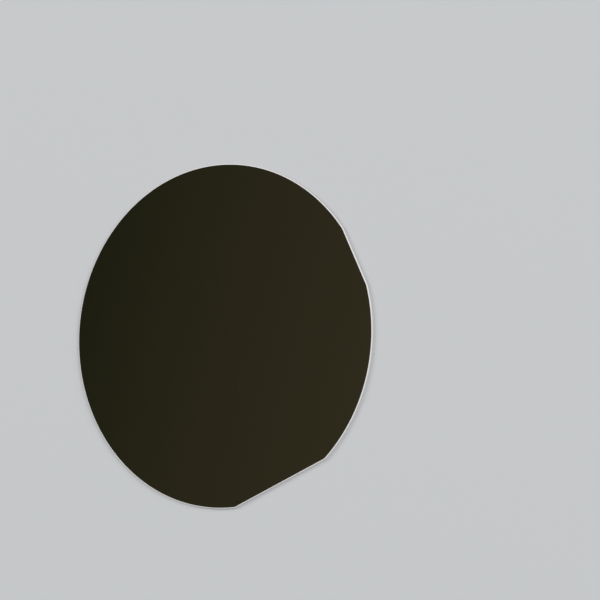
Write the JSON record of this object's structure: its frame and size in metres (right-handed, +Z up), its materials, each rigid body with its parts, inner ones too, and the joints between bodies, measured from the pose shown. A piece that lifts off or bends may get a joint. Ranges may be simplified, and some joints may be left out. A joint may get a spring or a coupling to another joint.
{
  "type": "indium phosphide wafer",
  "caption": "Thin round semiconductor wafer with a polished front face, a rounded rim, a long primary flat and a shorter secondary flat at right angles to it.",
  "frame": {"origin": "centre of the round outline, on the etched back face that the wafer lies on", "axes": "+Z up out of the polished front face, -Y straight out of the long primary flat, +X straight out of the shorter secondary flat"},
  "size_m": [0.0992, 0.0973, 0.0006],
  "materials": {
    "wafer": "polished"
  },
  "bodies": {
    "root": {"wafer": "wafer"}
  },
  "joints": []
}
